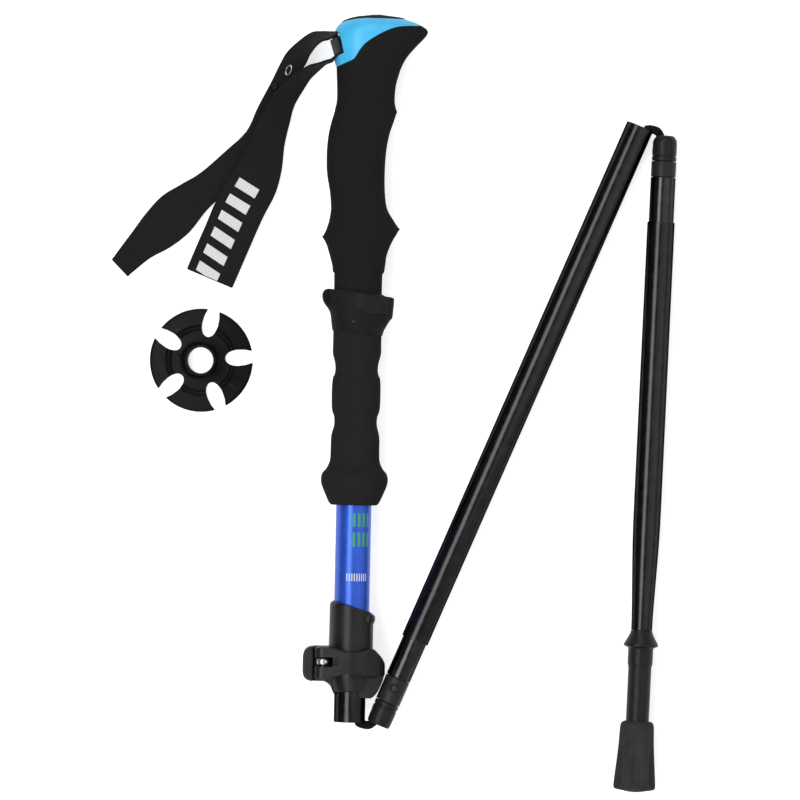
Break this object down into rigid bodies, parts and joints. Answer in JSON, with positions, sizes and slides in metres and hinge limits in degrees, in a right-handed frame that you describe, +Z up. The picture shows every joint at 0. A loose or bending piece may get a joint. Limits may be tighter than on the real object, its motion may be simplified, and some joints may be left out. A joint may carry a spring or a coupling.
{
  "type": "trail running pole",
  "caption": "Folding running pole lying half folded: foam handle with wrist strap, cam clamp, telescoping tube, plug-in cable-linked sections, rubber boot and a loose basket.",
  "frame": {"origin": "on the ground, under the middle of the object's box", "axes": "+Y up the handle towards its head, +X from the handle towards the folded sections, +Z up from the ground the pole lies on"},
  "size_m": [0.2872, 0.3918, 0.0343],
  "materials": {
    "blue_metal": "blue anodised, satin",
    "black_metal": "black anodised, satin",
    "steel": "bright",
    "foam": "matt closed-cell foam",
    "black_plastic": "satin moulded",
    "grey_plastic": "satin moulded",
    "white_plastic": "plain moulded",
    "black_rubber": "matt",
    "cap_blue": "smooth, light blue",
    "cable": "plastic-coated cable",
    "webbing": "woven black webbing"
  },
  "bodies": {
    "handle": {"upper_tube": "blue_metal", "lower_grip": "foam", "upper_grip": "foam", "head_base": "black_plastic", "head_shell": "cap_blue", "head_pad": "black_rubber", "storage_band": "black_rubber", "clamp_body": "black_plastic", "clamp_bolt": "steel", "clamp_washer": "steel", "clamp_nut": "steel"},
    "lever": {"clamp_lever": "black_plastic", "lever_pin": "steel"},
    "wedge": {"strap_wedge": "black_plastic"},
    "strap": {"strap_front": "webbing", "strap_back": "webbing", "strap_rivet": "steel"},
    "slider": {"guide_bush": "white_plastic"},
    "inner": {"inner_tube": "black_metal", "inner_socket": "black_plastic", "tension_spring": "steel", "cable_anchor": "white_plastic", "upper_crimp": "steel", "upper_cable": "cable", "link_cable_a": "cable"},
    "carrier_a": {"cable_a": "cable", "crimp_a": "steel"},
    "middle": {"middle_plug": "black_plastic", "middle_collar": "grey_plastic", "middle_ferrule": "black_metal", "middle_tube": "black_metal", "middle_cable": "cable", "middle_crimp": "steel", "link_cable_b": "cable", "button_spring": "steel"},
    "button": {"lock_button": "steel"},
    "carrier_b": {"cable_b": "cable", "crimp_b": "steel"},
    "lower": {"lower_plug": "black_plastic", "lower_collar": "grey_plastic", "lower_ferrule": "black_metal", "lower_tube": "black_metal", "tip_holder": "black_plastic", "carbide_tip": "steel"},
    "boot": {"tip_boot": "black_rubber"},
    "basket": {"basket": "black_plastic"}
  },
  "joints": [
    {"name": "lever_open", "type": "hinge", "parent": "handle", "child": "lever", "pos_m": [-0.03042, -0.13336, 0.02926], "axis": [0.0003, -0.9999, 0.0113], "range_deg": [0, 125]},
    {"name": "wedge_slide", "type": "slide", "parent": "handle", "child": "wedge", "axis": [-0.9984, 0.0003, 0.0557], "range_m": [0, 0.003]},
    {"name": "strap_swing", "type": "hinge", "parent": "handle", "child": "strap", "pos_m": [-0.03136, 0.18126, 0.01552], "axis": [-0.0557, -0.0113, -0.9984], "range_deg": [-5, 60], "deforming": ["strap_front", "strap_back"]},
    {"name": "telescope", "type": "slide", "parent": "handle", "child": "slider", "axis": [0.0003, -0.9999, 0.0113], "range_m": [0, 0.18]},
    {"name": "swivel", "type": "hinge", "parent": "slider", "child": "inner", "pos_m": [-0.017, -0.16437, 0.01865], "axis": [0.0003, -0.9999, 0.0113], "range_deg": [0, 90]},
    {"name": "fold_a", "type": "hinge", "parent": "inner", "child": "carrier_a", "pos_m": [-0.00968, -0.16358, 0.01823], "axis": [-0.0557, -0.0113, -0.9984], "range_deg": [0, 157.5], "deforming": ["link_cable_a"]},
    {"name": "middle_slide", "type": "slide", "parent": "carrier_a", "child": "middle", "axis": [-0.3818, -0.9237, 0.0318], "range_m": [0, 0.0467]},
    {"name": "button_press", "type": "slide", "parent": "middle", "child": "button", "axis": [-0.0557, -0.0113, -0.9984], "range_m": [0, 0.0017], "stiffness_N_per_m": 300, "springref_m": -0.001, "deforming": ["button_spring"]},
    {"name": "fold_b", "type": "hinge", "parent": "middle", "child": "carrier_b", "pos_m": [0.1307, 0.13896, 0.00696], "axis": [0.0557, 0.0113, 0.9984], "range_deg": [0, 159.04], "deforming": ["link_cable_b"]},
    {"name": "lower_slide", "type": "slide", "parent": "carrier_b", "child": "lower", "axis": [0.0265, 0.9996, -0.0128], "range_m": [0, 0.0439]},
    {"name": "boot_pull", "type": "slide", "parent": "lower", "child": "boot", "axis": [-0.0265, -0.9996, 0.0128], "range_m": [0, 0.04]},
    {"name": "basket_lift", "type": "slide", "parent": "handle", "child": "basket", "axis": [0, 0, 1], "range_m": [0, 0.05]}
  ]
}
